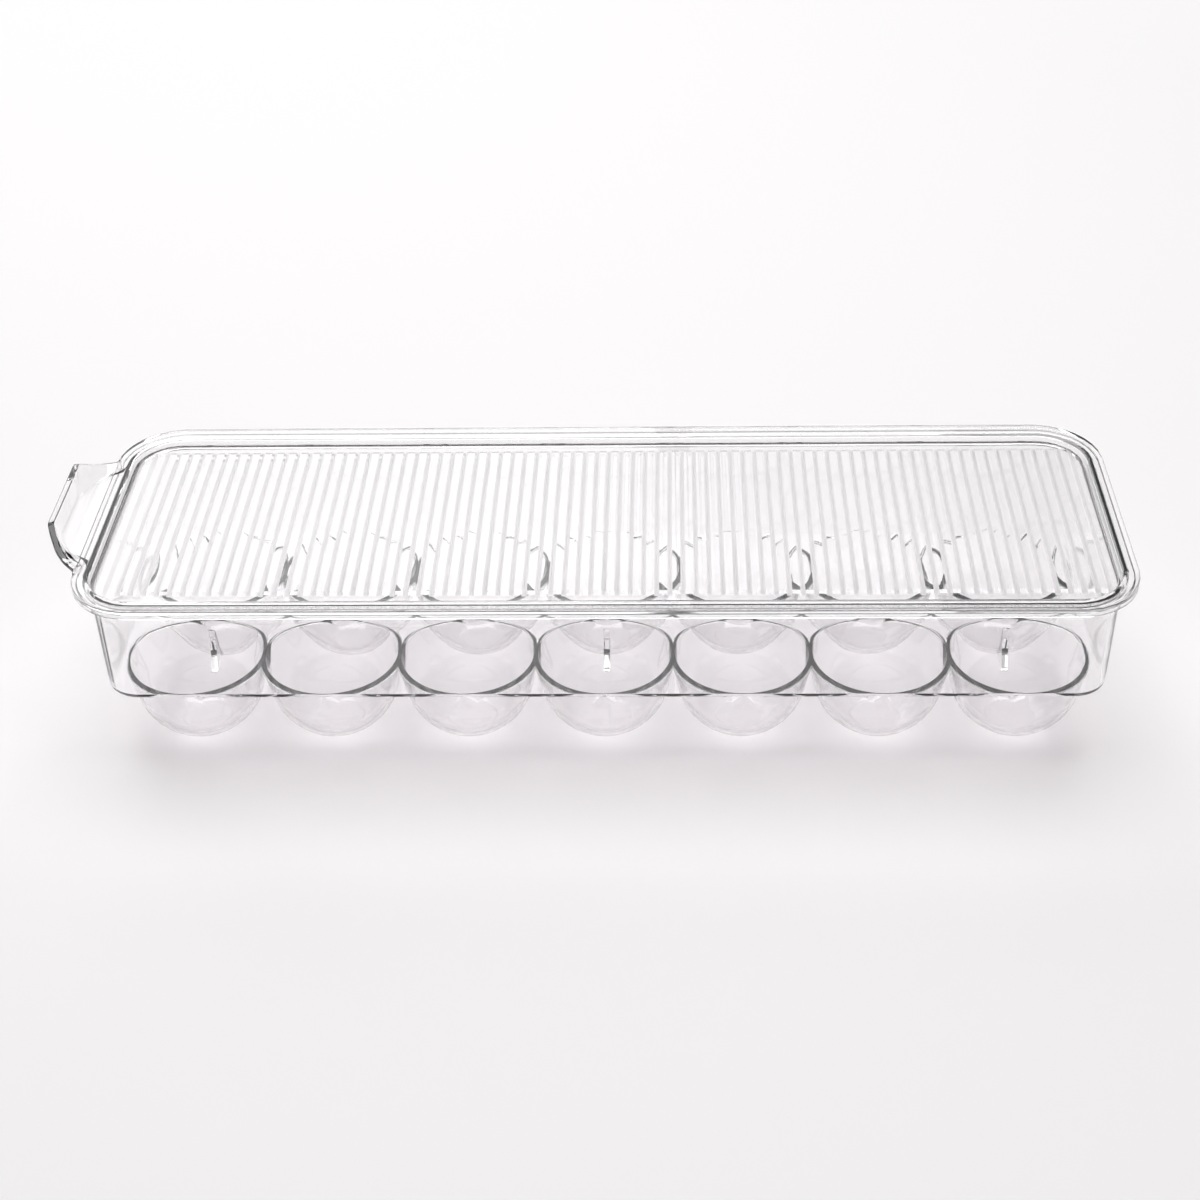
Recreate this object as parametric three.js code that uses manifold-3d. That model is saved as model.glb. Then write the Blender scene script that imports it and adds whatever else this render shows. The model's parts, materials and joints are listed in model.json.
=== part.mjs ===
// Egg holder: a clear moulded tray with two rows of round egg cups, a stepped rim, a raised pull handle
// at one end and a ribbed lid that drops into the rim.
// Millimetres, +Z up. The origin is the middle of the whole outline on the surface the holder stands on.
// The rows of cups run along X, the pull handle points to -X, and the two rows lie to -Y (front) and +Y (back).
import * as THREE from 'three';
import { mergeVertices } from 'three/addons/utils/BufferGeometryUtils.js';
import Module from 'manifold-3d';

const wasm = await Module();
wasm.setup();

// Cup grid
const cupsPerRow = 7;
const cupPitchX = 46;
const cupPitchY = 46.6;

// One cup: a cone leads into a round bowl with a flat foot
const cupMouthRadius = 22.45;
const cupConeAngle = THREE.MathUtils.degToRad(10);
const cupMouthFlare = 1.85;
const cupWall = 1.6;
const cupInsideDepth = 27.4;
const cupFootWall = 1.8;

// Deck that joins the cups
const deckThickness = 1.6;

// Tray wall: it stands this far outside the cups' field and leans out by the drafts up to the step
const endBorder = 3.6;
const sideBorder = 0.6;
const endDraft = 1.3;
const sideDraft = 2.4;
const wallFootCornerRadius = 11;
const wallStepCornerRadius = 16;
const wallThickness = 1.6;
const wallEndSectionLength = 26;
const fieldCornerRadius = 14;

// Rim: the wall steps out, leaves a ledge for the lid, and ends in a flange with a turned-down lip
const stepHeight = 34;
const stepRise = 1;
const ledgeHeight = 35.7;
const rimHeight = 40;
const endLedgeWidth = 1.5;
const sideLedgeWidth = 1.3;
const recessCornerRadius = 16;
const upstandThickness = 1.7;
const endRimWidth = 5.4;
const sideRimWidth = 6.2;
const flangeCornerRadius = 22;
const flangeThickness = 1.8;
const flangeLipThickness = 1.5;
const flangeLipHeight = 3;

// Pull handle: the rim's plate runs out past the flange and curls up into a lip around a shallow pocket
const handleProjection = 10.3;
const handleLipTopHeight = 49;
const handleLipThickness = 2;
const handleLipFootThickness = 1.9;
const handleLipEdgeHeight = 1.8;
// Stations of the lip's outer edge: [back from the end, out from the middle, below the top]
const handleEdgeStations = [
  [0, 0, 0],
  [0, 10, 0],
  [0, 17.4, 0],
  [0.25, 19, 0.55],
  [0.8, 20.6, 1.4],
  [1.9, 23, 3],
  [3.5, 26, 5],
  [6, 29, 6.75],
  [7.7, 30.5, 7.45],
  [9.6, 32, 8.1],
  [10.6, 33.5, 8.7],
  [11, 35.2, 9.7],
];
// Stations of the pocket floor's edge, one for each of the lip: [back from the end, out from the middle]
const handlePocketStations = [
  [2.2, 0],
  [2.2, 7],
  [2.2, 12],
  [2.7, 13.8],
  [3.4, 15.6],
  [4.7, 18.8],
  [6.7, 21.9],
  [9.4, 24.3],
  [11.2, 25.5],
  [13, 26.7],
  [14.2, 27.6],
  [15.2, 28.6],
];

// Tie ribs between the front and back bowls, under the deck, at these cups of a row
const tieRibCups = [1, 4, 7];
const tieRibThickness = 2.2;
const tieRibTopDepth = 7;
const tieRibDepth = 22.3;

// Lid: a flat plate with raised crosswise ribs
const lidThickness = 1.8;
const lidClearance = 0.6;
const lidShift = 0.3;
const lidRibCount = 75;
const lidRibPitch = 4.22;
const lidRibWidth = 2.8;
const lidRibTopWidth = 1.7;
const lidRibHeight = 0.8;
const lidRibHalfLength = 41.5;
const lidRibFieldMiddle = 3;

// Fineness of the faceted shapes
const cupSides = 24;
const cupArcSteps = 4;
const cornerSteps = 7;

// How far a cutting block runs past what it cuts
const overrun = 5;

// Derived places
const deckTopZ = cupInsideDepth + cupFootWall;
const deckBottomZ = deckTopZ - deckThickness;
const stepZ = deckTopZ + stepHeight;
const ledgeZ = deckTopZ + ledgeHeight;
const rimZ = deckTopZ + rimHeight;
const handleLipZ = deckTopZ + handleLipTopHeight;
const flangeLipZ = rimZ - flangeLipHeight;
const rowCentreX = handleProjection / 2;
const cellHalfX = cupPitchX / 2;
const cellHalfY = cupPitchY / 2;
const fieldHalfLength = (cupsPerRow * cupPitchX) / 2;
const fieldHalfWidth = cupPitchY;
const middleCup = (cupsPerRow + 1) / 2;
const cupBowlRadius = cupMouthRadius - cupMouthFlare;
const wallFootHalfLength = fieldHalfLength + endBorder;
const wallFootHalfWidth = fieldHalfWidth + sideBorder;
const wallStepHalfLength = wallFootHalfLength + endDraft;
const wallStepHalfWidth = wallFootHalfWidth + sideDraft;
const recessHalfLength = wallStepHalfLength - wallThickness + endLedgeWidth;
const recessHalfWidth = wallStepHalfWidth - wallThickness + sideLedgeWidth;
const flangeHalfLength = recessHalfLength + endRimWidth;
const flangeHalfWidth = recessHalfWidth + sideRimWidth;
const handleReach = flangeHalfLength + handleProjection;
const lidCornerRadius = recessCornerRadius - lidClearance;
const wallEndX = flangeHalfLength - wallEndSectionLength;

// Shape helpers

function withoutExtras(geometry) {
  // Keeps only positions, joins equal points and drops triangles that have no area.
  const plain = geometry.clone();
  plain.deleteAttribute('normal');
  plain.deleteAttribute('uv');
  const joined = mergeVertices(plain);
  const index = joined.index.array;
  const kept = [];
  for (let i = 0; i < index.length; i += 3) {
    const [a, b, c] = [index[i], index[i + 1], index[i + 2]];
    if (a !== b && b !== c && c !== a) kept.push(a, b, c);
  }
  joined.setIndex(kept);
  return joined;
}

function signedVolume(geometry) {
  const points = geometry.attributes.position;
  const index = geometry.index.array;
  const [a, b, c] = [new THREE.Vector3(), new THREE.Vector3(), new THREE.Vector3()];
  let total = 0;
  for (let i = 0; i < index.length; i += 3) {
    a.fromBufferAttribute(points, index[i]);
    b.fromBufferAttribute(points, index[i + 1]);
    c.fromBufferAttribute(points, index[i + 2]);
    total += a.dot(b.cross(c));
  }
  return total;
}

function toSolid(geometry) {
  // Turns a closed geometry into a solid whose faces point out.
  const joined = withoutExtras(geometry);
  const index = Uint32Array.from(joined.index.array);
  if (signedVolume(joined) < 0) {
    for (let i = 0; i < index.length; i += 3) [index[i + 1], index[i + 2]] = [index[i + 2], index[i + 1]];
  }
  const vertices = Float32Array.from(joined.attributes.position.array);
  return new wasm.Manifold(new wasm.Mesh({ numProp: 3, vertProperties: vertices, triVerts: index }));
}

function toGeometry(solid) {
  const mesh = solid.getMesh();
  const geometry = new THREE.BufferGeometry();
  geometry.setAttribute('position', new THREE.Float32BufferAttribute(mesh.vertProperties, 3));
  geometry.setIndex(Array.from(mesh.triVerts));
  geometry.computeVertexNormals();
  return geometry;
}

function outline(halfLength, halfWidth, radius) {
  // Points of a rectangle with round corners, anticlockwise from the +X side.
  const corners = [[1, 1, 0], [-1, 1, 1], [-1, -1, 2], [1, -1, 3]];
  const points = [];
  for (const [sideX, sideY, quarter] of corners) {
    for (let step = 0; step <= cornerSteps; step += 1) {
      const angle = (quarter + step / cornerSteps) * (Math.PI / 2);
      points.push([
        sideX * (halfLength - radius) + radius * Math.cos(angle),
        sideY * (halfWidth - radius) + radius * Math.sin(angle),
      ]);
    }
  }
  return points;
}

function stackGeometry(loops, isClosed) {
  // Joins loops of equal point count. A closed stack returns to its first loop, an open one is capped.
  const count = loops[0].length;
  const positions = loops.flat(2);
  const faces = [];
  const rows = isClosed ? loops.length : loops.length - 1;
  for (let row = 0; row < rows; row += 1) {
    const next = (row + 1) % loops.length;
    for (let i = 0; i < count; i += 1) {
      const j = (i + 1) % count;
      faces.push(row * count + i, row * count + j, next * count + j);
      faces.push(row * count + i, next * count + j, next * count + i);
    }
  }
  if (!isClosed) {
    const last = (loops.length - 1) * count;
    const flat = loops[0].map(([x, y]) => new THREE.Vector2(x, y));
    for (const [a, b, c] of THREE.ShapeUtils.triangulateShape(flat, [])) {
      faces.push(a, c, b);
      faces.push(last + a, last + b, last + c);
    }
  }
  const geometry = new THREE.BufferGeometry();
  geometry.setAttribute('position', new THREE.Float32BufferAttribute(positions, 3));
  geometry.setIndex(faces);
  return geometry;
}

function atHeight(points, z) {
  return points.map(([x, y]) => [x, y, z]);
}

function block(lowX, highX, lowY, highY, lowZ, highZ) {
  const corners = [[lowX, lowY], [highX, lowY], [highX, highY], [lowX, highY]];
  return toSolid(stackGeometry([atHeight(corners, lowZ), atHeight(corners, highZ)], false));
}

function plate(halfLength, halfWidth, radius, lowZ, highZ) {
  const points = outline(halfLength, halfWidth, radius);
  return toSolid(stackGeometry([atHeight(points, lowZ), atHeight(points, highZ)], false));
}

function turned(profile) {
  // Turns a profile of [radius, z] about the Z axis, with flats facing X and Y.
  const points = profile.map(([radius, z]) => new THREE.Vector2(radius, z));
  const geometry = new THREE.LatheGeometry(points, cupSides, Math.PI / cupSides);
  geometry.rotateX(Math.PI / 2);
  return toSolid(geometry);
}

// Cups

function bowlArc(radius, footDepth) {
  // Points of the round part of a bowl, from the cone down to the flat foot, with z from the deck top.
  const coneFoot = cupBowlRadius * (Math.cos(cupConeAngle) + Math.sin(cupConeAngle) * Math.tan(cupConeAngle));
  const centreZ = -(cupMouthRadius - coneFoot) / Math.tan(cupConeAngle);
  const footAngle = Math.asin((footDepth + centreZ) / radius);
  const points = [];
  for (let step = 0; step <= cupArcSteps; step += 1) {
    const angle = THREE.MathUtils.lerp(cupConeAngle, footAngle, step / cupArcSteps);
    points.push([radius * Math.cos(angle), centreZ - radius * Math.sin(angle)]);
  }
  return points;
}

function cupProfile(radius, footDepth, topZ) {
  // Profile from the axis at the top, along the rim, down the cone and the bowl, to the axis at the foot.
  const arc = bowlArc(radius, footDepth);
  const mouthRadius = arc[0][0] + (topZ - arc[0][1]) * Math.tan(cupConeAngle);
  const points = [[0, topZ], [mouthRadius, topZ], ...arc, [0, -footDepth]];
  return points.map(([pointRadius, z]) => [pointRadius, z + deckTopZ]);
}

function tieRibSolid(direction) {
  // Half of the rib that ties a bowl to the one in the other row; direction is the side of that row.
  const shape = new THREE.Shape();
  shape.moveTo(0, deckTopZ - tieRibTopDepth);
  shape.lineTo(cellHalfY, deckTopZ - tieRibTopDepth);
  shape.lineTo(cellHalfY, deckTopZ - tieRibDepth);
  shape.lineTo(0, deckTopZ - tieRibDepth);
  const geometry = new THREE.ExtrudeGeometry(shape, { depth: tieRibThickness, bevelEnabled: false });
  geometry.translate(0, 0, -tieRibThickness / 2);
  geometry.rotateX(Math.PI / 2);
  geometry.rotateZ(direction * Math.PI / 2);
  return toSolid(geometry);
}

function cupSolid(number, isFront) {
  // One cell of the tray with its bowl, about the cup's own axis.
  const inward = isFront ? 1 : -1;
  const centreX = (number - middleCup) * cupPitchX;
  const centreY = (-inward * cupPitchY) / 2;
  const field = plate(fieldHalfLength, fieldHalfWidth, fieldCornerRadius, -overrun, deckTopZ)
    .translate([-centreX, -centreY, 0]);
  const column = block(-cellHalfX, cellHalfX, -cellHalfY, cellHalfY, -overrun, deckTopZ).intersect(field);
  const deckRoom = block(-cupPitchX, cupPitchX, -cupPitchY, cupPitchY, deckBottomZ, deckTopZ + overrun);
  const isFirst = number === 1;
  const isLast = number === cupsPerRow;
  const reach = cupPitchX + overrun;
  const room = block(
    isFirst ? -reach : -cellHalfX,
    isLast ? reach : cellHalfX,
    isFront ? -reach : -cellHalfY,
    isFront ? cellHalfY : reach,
    -overrun,
    deckBottomZ,
  );
  const outside = turned(cupProfile(cupBowlRadius + cupWall, deckTopZ, overrun));
  const inside = turned(cupProfile(cupBowlRadius, cupInsideDepth, overrun));
  const body = tieRibCups.includes(number) ? outside.add(tieRibSolid(inward)) : outside;
  return column
    .intersect(deckRoom)
    .add(body.intersect(column))
    .add(body.intersect(room))
    .subtract(inside);
}

// Tray wall and rim

function wallRingSolid() {
  // The wall above the deck, its ledge and the flanged rim, as one closed ring.
  const step = upstandThickness;
  const rise = stepHeight / (stepHeight + deckThickness);
  const footLength = THREE.MathUtils.lerp(wallStepHalfLength, wallFootHalfLength, rise);
  const footWidth = THREE.MathUtils.lerp(wallStepHalfWidth, wallFootHalfWidth, rise);
  const footRadius = THREE.MathUtils.lerp(wallStepCornerRadius, wallFootCornerRadius, rise);
  const inLip = flangeLipThickness;
  const levels = [
    [footLength, footWidth, footRadius, deckTopZ],
    [wallStepHalfLength, wallStepHalfWidth, wallStepCornerRadius, stepZ],
    [recessHalfLength + step, recessHalfWidth + step, recessCornerRadius + step, stepZ + stepRise],
    [recessHalfLength + step, recessHalfWidth + step, recessCornerRadius + step, rimZ - flangeThickness],
    [flangeHalfLength - inLip, flangeHalfWidth - inLip, flangeCornerRadius - inLip, rimZ - flangeThickness],
    [flangeHalfLength - inLip, flangeHalfWidth - inLip, flangeCornerRadius - inLip, flangeLipZ],
    [flangeHalfLength, flangeHalfWidth, flangeCornerRadius, flangeLipZ],
    [flangeHalfLength, flangeHalfWidth, flangeCornerRadius, rimZ],
    [recessHalfLength, recessHalfWidth, recessCornerRadius, rimZ],
    [recessHalfLength, recessHalfWidth, recessCornerRadius, ledgeZ],
    [
      wallStepHalfLength - wallThickness,
      wallStepHalfWidth - wallThickness,
      wallStepCornerRadius - wallThickness,
      ledgeZ,
    ],
    [
      wallStepHalfLength - wallThickness,
      wallStepHalfWidth - wallThickness,
      wallStepCornerRadius - wallThickness,
      stepZ,
    ],
    [footLength - wallThickness, footWidth - wallThickness, footRadius - wallThickness, deckTopZ],
  ];
  const loops = levels.map(([length, width, radius, z]) => atHeight(outline(length, width, radius), z));
  return { ring: toSolid(stackGeometry(loops, true)), footLength, footWidth, footRadius };
}

function borderSolid(footLength, footWidth, footRadius) {
  // The strip of deck between the cups' field and the outside of the wall.
  const low = atHeight(outline(wallFootHalfLength, wallFootHalfWidth, wallFootCornerRadius), deckBottomZ);
  const high = atHeight(outline(footLength, footWidth, footRadius), deckTopZ);
  const whole = toSolid(stackGeometry([low, high], false));
  const field = plate(
    fieldHalfLength,
    fieldHalfWidth,
    fieldCornerRadius,
    deckBottomZ - overrun,
    deckTopZ + overrun,
  );
  return whole.subtract(field);
}

function wallSolid() {
  const { ring, footLength, footWidth, footRadius } = wallRingSolid();
  return ring.add(borderSolid(footLength, footWidth, footRadius));
}

// Pull handle

function handleLine(stations) {
  // The line through the stations from the front neck to the back neck, as [x, y, drop].
  const half = stations.map(([back, out, drop = 0]) => [back - handleReach, out, drop]);
  const mirrored = half.slice(1).map(([x, y, drop]) => [x, -y, drop]);
  return [...mirrored.reverse(), ...half];
}

function outward(line, distance) {
  // The line moved to its outer side, away from the tray.
  return line.map(([x, y, drop], i) => {
    const before = line[Math.max(i - 1, 0)];
    const after = line[Math.min(i + 1, line.length - 1)];
    const along = new THREE.Vector2(after[0] - before[0], after[1] - before[1]).normalize();
    return [x - along.y * distance, y + along.x * distance, drop];
  });
}

function handleSolid(wall) {
  const edge = handleLine(handleEdgeStations);
  const inner = outward(edge, -handleLipThickness);
  const pocket = handleLine(handlePocketStations);
  const foot = outward(pocket, handleLipFootThickness);
  const underZ = rimZ - flangeThickness;
  // The lip: slices along the edge, each from the pocket floor's edge up and out to the lip's edge
  const slices = edge.map(([x, y, drop], i) => [
    [x, y, Math.max(handleLipZ - drop - handleLipEdgeHeight, underZ)],
    [foot[i][0], foot[i][1], underZ],
    [pocket[i][0], pocket[i][1], underZ],
    [pocket[i][0], pocket[i][1], rimZ],
    [inner[i][0], inner[i][1], handleLipZ - drop],
    [x, y, handleLipZ - drop],
  ]);
  const lip = toSolid(sliceGeometry(slices));
  // The pocket floor, which reaches into the lip and over the rim
  const shape = new THREE.Shape();
  shape.moveTo(-recessHalfLength, pocket[0][1]);
  for (const [x, y] of outward(pocket, handleLipFootThickness / 2)) shape.lineTo(x, y);
  shape.lineTo(-recessHalfLength, pocket[pocket.length - 1][1]);
  const geometry = new THREE.ExtrudeGeometry(shape, { depth: flangeThickness, bevelEnabled: false });
  geometry.translate(0, 0, underZ);
  return toSolid(geometry).add(lip).subtract(wall);
}

function sliceGeometry(slices) {
  // Joins slices of equal point counts into a closed bar with flat ends.
  const count = slices[0].length;
  const positions = slices.flat(2);
  const faces = [];
  for (let row = 0; row + 1 < slices.length; row += 1) {
    for (let i = 0; i < count; i += 1) {
      const j = (i + 1) % count;
      faces.push(row * count + i, row * count + j, (row + 1) * count + j);
      faces.push(row * count + i, (row + 1) * count + j, (row + 1) * count + i);
    }
  }
  const last = (slices.length - 1) * count;
  for (let i = 1; i + 1 < count; i += 1) {
    faces.push(0, i + 1, i);
    faces.push(last, last + i, last + i + 1);
  }
  const geometry = new THREE.BufferGeometry();
  geometry.setAttribute('position', new THREE.Float32BufferAttribute(positions, 3));
  geometry.setIndex(faces);
  return geometry;
}

// Lid

function lidSolid() {
  const base = plate(
    recessHalfLength - lidClearance,
    recessHalfWidth - lidClearance,
    lidCornerRadius,
    0,
    lidThickness,
  );
  // All ribs share one profile that is drawn once and pushed along Y
  const shape = new THREE.Shape();
  const first = lidRibFieldMiddle + lidShift - ((lidRibCount - 1) / 2) * lidRibPitch;
  const rootZ = lidThickness / 2;
  shape.moveTo(first - lidRibWidth / 2, rootZ);
  for (let i = 0; i < lidRibCount; i += 1) {
    const middle = first + i * lidRibPitch;
    shape.lineTo(middle - lidRibWidth / 2, lidThickness);
    shape.lineTo(middle - lidRibTopWidth / 2, lidThickness + lidRibHeight);
    shape.lineTo(middle + lidRibTopWidth / 2, lidThickness + lidRibHeight);
    shape.lineTo(middle + lidRibWidth / 2, lidThickness);
  }
  shape.lineTo(first + (lidRibCount - 1) * lidRibPitch + lidRibWidth / 2, rootZ);
  const geometry = new THREE.ExtrudeGeometry(shape, { depth: 2 * lidRibHalfLength, bevelEnabled: false });
  geometry.translate(0, 0, -lidRibHalfLength);
  geometry.rotateX(Math.PI / 2);
  return base.add(toSolid(geometry));
}

// The assembly

const clearPlastic = { color: 0xf2f4f6, roughness: 0.05, metalness: 0, transparent: true, opacity: 0.35 };

function piece(name, solid) {
  const mesh = new THREE.Mesh(toGeometry(solid), new THREE.MeshStandardMaterial(clearPlastic));
  mesh.name = name;
  return mesh;
}

const holder = new THREE.Group();
const tray = new THREE.Group();
tray.position.set(rowCentreX, 0, 0);
holder.add(tray);

for (const isFront of [true, false]) {
  for (let number = 1; number <= cupsPerRow; number += 1) {
    const cup = piece(`cup_${isFront ? 'front' : 'back'}_${number}`, cupSolid(number, isFront));
    cup.position.set((number - middleCup) * cupPitchX, (isFront ? -cupPitchY : cupPitchY) / 2, 0);
    tray.add(cup);
  }
}

const wall = wallSolid();
const far = handleReach + overrun;
const wallSections = {
  wall_front: [-wallEndX, wallEndX, -far, 0],
  wall_back: [-wallEndX, wallEndX, 0, far],
  wall_handle_end: [-far, -wallEndX, -far, far],
  wall_far_end: [wallEndX, far, -far, far],
};
for (const [name, [lowX, highX, lowY, highY]] of Object.entries(wallSections)) {
  tray.add(piece(name, wall.intersect(block(lowX, highX, lowY, highY, 0, rimZ + overrun))));
}
tray.add(piece('pull_handle', handleSolid(wall)));

const lid = piece('lid', lidSolid());
lid.position.set(-lidShift, 0, ledgeZ);
tray.add(lid);

export default holder;
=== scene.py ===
"""Egg holder in clear moulded plastic: a lidded tray with two rows of round cups.

The tray moulding and the lid moulding are each built as one closed skin, because clear
plastic shows every inner face. The sizes of the mouldings and the camera's place are in
millimetres and are turned to metres by placed(). Their heights count from the top face of the
deck that joins the cups, their X and Y from the middle of the cup grid. The studio, the
plastics and the merge distance are in metres.
"""

import json
import logging
import math
from collections.abc import Callable, Sequence
from dataclasses import dataclass, field
from enum import Enum

import bmesh
import bpy
from mathutils import Matrix, Vector


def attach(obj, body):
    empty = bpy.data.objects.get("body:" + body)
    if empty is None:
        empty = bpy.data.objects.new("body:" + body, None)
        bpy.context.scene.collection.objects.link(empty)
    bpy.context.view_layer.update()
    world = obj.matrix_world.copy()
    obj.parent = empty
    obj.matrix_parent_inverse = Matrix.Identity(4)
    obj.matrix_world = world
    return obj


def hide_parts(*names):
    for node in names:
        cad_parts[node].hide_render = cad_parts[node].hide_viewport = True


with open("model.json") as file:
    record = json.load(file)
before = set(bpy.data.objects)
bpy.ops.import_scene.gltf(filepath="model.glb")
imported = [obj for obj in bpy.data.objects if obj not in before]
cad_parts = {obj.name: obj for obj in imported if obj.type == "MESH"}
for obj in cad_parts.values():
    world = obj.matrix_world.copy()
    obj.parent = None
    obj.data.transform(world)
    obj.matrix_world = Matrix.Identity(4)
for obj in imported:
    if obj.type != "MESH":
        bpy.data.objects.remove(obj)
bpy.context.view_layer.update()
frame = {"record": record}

log = logging.getLogger("egg_holder")

Point2 = tuple[float, float]
Point3 = tuple[float, float, float]
Ray = tuple[float, Point2]
Colour = tuple[float, float, float]
Feeds = dict[str | int, bpy.types.NodeSocket | list[bpy.types.NodeSocket] | float | tuple[float, ...]]

MM = 0.001
ROW_CENTRE_X = 5.15
DECK_TOP_Z = 29.2
POINTS_PER_MM = 5000
MERGE_DISTANCE = 4e-7
CROSSING_STEPS = 60
LED_BY_LARGE_FACES = 100
# The sockets that the mix node has for colours.
MIX_A, MIX_B, MIX_RESULT = 6, 7, 2


class Row(Enum):
    """The two rows of cups, with the sign of their Y."""

    FRONT = -1
    BACK = 1


class Edge(Enum):
    """The four edges of a cup's cell, as quarter turns from +X."""

    RIGHT = 0
    BACK = 1
    LEFT = 2
    FRONT = 3


def placed(point: Point3) -> Vector:
    """Return a point of the cup grid's frame in metres in the object's frame."""
    x, y, z = point
    return Vector(((x + ROW_CENTRE_X) * MM, y * MM, (z + DECK_TOP_Z) * MM))


def lerp(low: float, high: float, share: float) -> float:
    """Return the value that lies a share of the way from low to high."""
    return low + (high - low) * share


def smooth(share: float) -> float:
    """Return a share from 0 to 1 that starts and ends gently."""
    share = min(max(share, 0.0), 1.0)
    return share * share * (3.0 - 2.0 * share)


def value_at(line: Sequence[Point2], at: float) -> float:
    """Return the second number along a line of points where the first one has a value.

    Args:
        line: The points.
        at: The value of the first number.

    Returns:
        The second number there, or that of the last point where no part of the line fits.
    """
    for (low, low_value), (high, high_value) in zip(line, line[1:]):
        if low <= at <= high and high > low:
            return lerp(low_value, high_value, (at - low) / (high - low))
    return line[-1][1]


def feed(node: bpy.types.Node, feeds: Feeds) -> None:
    """Feed the inputs of a node.

    Args:
        node: The node that is fed.
        feeds: For an input's name or number the outputs that are linked to it, or its constant.
    """
    for entry, source in feeds.items():
        if isinstance(source, bpy.types.NodeSocket):
            source = [source]
        if isinstance(source, list):
            for output in source:
                node.id_data.links.new(output, node.inputs[entry])
        else:
            node.inputs[entry].default_value = source


def add_node(
    tree: bpy.types.NodeTree, kind: str, feeds: Feeds | None = None, **settings: object
) -> bpy.types.NodeOutputs:
    """Add a node to a tree.

    Args:
        tree: The tree that gets the node.
        kind: Type of the node.
        feeds: What feeds the node's inputs.
        settings: The node's own settings with their values.

    Returns:
        The outputs of the new node.
    """
    node = tree.nodes.new(kind)
    for name, setting in settings.items():
        setattr(node, name, setting)
    feed(node, feeds or {})
    return node.outputs


def calculate(
    tree: bpy.types.NodeTree, operation: str, *numbers: bpy.types.NodeSocket | float
) -> bpy.types.NodeSocket:
    """Add a math node for an operation on numbers and return its output."""
    return add_node(tree, "ShaderNodeMath", dict(enumerate(numbers)), operation=operation)[0]


def settle(piece: bpy.types.Object) -> None:
    """Turn a piece with modifiers into a plain mesh under its own name.

    Args:
        piece: The piece's object.
    """
    graph = bpy.context.evaluated_depsgraph_get()
    data = bpy.data.meshes.new_from_object(piece.evaluated_get(graph), depsgraph=graph)
    piece.modifiers.clear()
    piece.data = data
    data.name = piece.name


class Skin:
    """Collects the faces of one closed skin and joins points that coincide."""

    def __init__(self) -> None:
        """Start an empty skin."""
        self.points: list[Vector] = []
        self.faces: list[tuple[int, ...]] = []
        self._known: dict[tuple[int, ...], int] = {}

    def point(self, place: Point3) -> int:
        """Return the number of a point, adding it if it is new.

        Args:
            place: The point in millimetres.

        Returns:
            The number of the point in the skin.
        """
        key = tuple(round(size * POINTS_PER_MM) for size in place)
        if key not in self._known:
            self._known[key] = len(self.points)
            self.points.append(placed(place))
        return self._known[key]

    def face(self, corners: Sequence[int]) -> None:
        """Add a face, leaving out corners that follow themselves.

        Args:
            corners: Point numbers around the face.
        """
        kept = [c for i, c in enumerate(corners) if c != corners[i - 1]]
        if len(set(kept)) >= 3:
            self.faces.append(tuple(kept))

    def band(self, low: Sequence[int], high: Sequence[int], closed: bool = True) -> None:
        """Join two rows of points of equal count with quads.

        Args:
            low: Point numbers of the first row.
            high: Point numbers of the second row.
            closed: Whether the last point joins the first.
        """
        count = len(low)
        for i in range(count if closed else count - 1):
            j = (i + 1) % count
            self.face((low[i], low[j], high[j], high[i]))

    def mesh(self, name: str) -> bpy.types.Object:
        """Make the Blender object of the skin.

        Args:
            name: Name of the object and of its mesh.

        Returns:
            The new object, linked to the scene, with its faces pointing out.
        """
        data = bpy.data.meshes.new(name)
        data.from_pydata(self.points, [], self.faces)
        form = bmesh.new()
        form.from_mesh(data)
        bmesh.ops.remove_doubles(form, verts=form.verts, dist=MERGE_DISTANCE)
        bmesh.ops.recalc_face_normals(form, faces=form.faces)
        if form.calc_volume(signed=True) < 0:
            bmesh.ops.reverse_faces(form, faces=form.faces)
        open_edges = sum(1 for edge in form.edges if not edge.is_manifold)
        if open_edges:
            log.warning("%s has %d open edges", name, open_edges)
        form.to_mesh(data)
        form.free()
        made = bpy.data.objects.new(name, data)
        bpy.context.scene.collection.objects.link(made)
        return made


def shade(piece: bpy.types.Object, angle: float) -> None:
    """Shade a piece smooth, with crisp edges and with normals led by its large faces.

    Args:
        piece: The object to shade.
        angle: The least angle of a crisp edge, in degrees.
    """
    data = piece.data
    data.polygons.foreach_set("use_smooth", [True] * len(data.polygons))
    data.set_sharp_from_angle(angle=math.radians(angle))
    modifier = piece.modifiers.new("normals", "WEIGHTED_NORMAL")
    modifier.mode = "FACE_AREA"
    modifier.weight = LED_BY_LARGE_FACES
    modifier.keep_sharp = True
    settle(piece)


@dataclass(frozen=True)
class Spot:
    """A place on a rounded rectangle that can be carried to another one."""

    corner: bool
    side_x: int
    side_y: int
    share: float


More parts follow.
